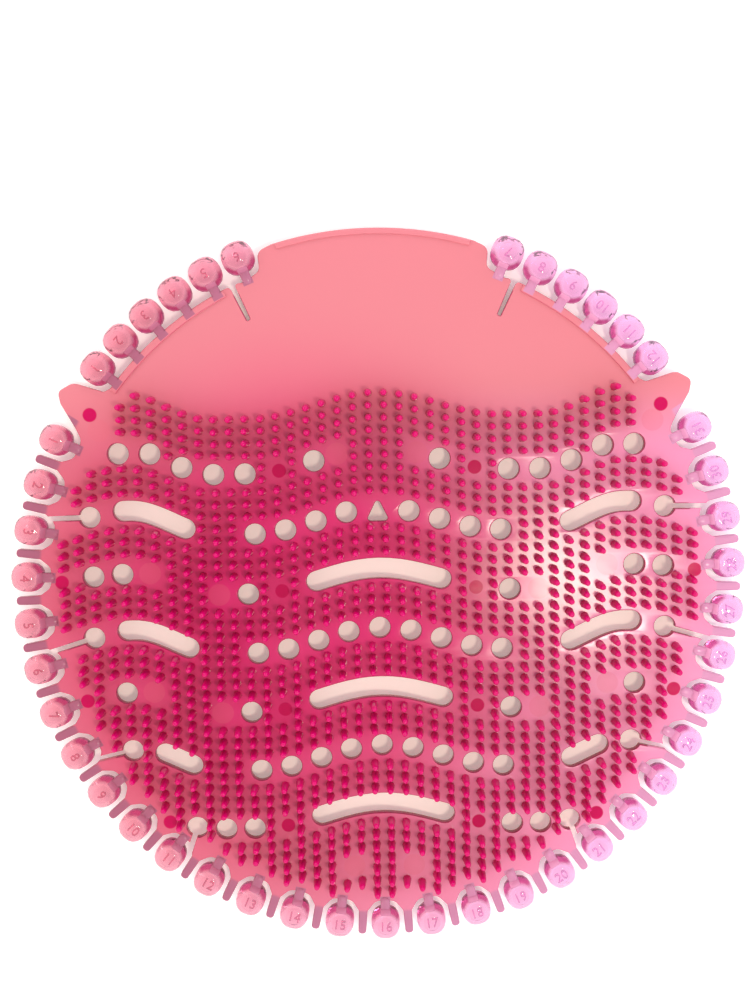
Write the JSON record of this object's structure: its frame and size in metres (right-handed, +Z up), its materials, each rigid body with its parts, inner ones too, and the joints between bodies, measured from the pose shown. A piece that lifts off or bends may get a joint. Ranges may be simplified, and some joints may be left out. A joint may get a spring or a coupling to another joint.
{
  "type": "urinal deodorizer screen",
  "caption": "Round flexible screen for a urinal bowl, with a field of upright pegs, drain holes and curved slots, and a ring of beads round its edge.",
  "frame": {"origin": "under the middle of the outline, level with the undersides of the feet", "axes": "+Y towards the wide top tab, +Z up out of the peg side, +X to the right when seen from above with the tab away from the viewer"},
  "size_m": [0.1848, 0.1808, 0.0102],
  "materials": {
    "scented_plastic": "translucent flexible moulding, smooth and slightly oily"
  },
  "bodies": {
    "root": {"screen": "scented_plastic"}
  },
  "joints": []
}
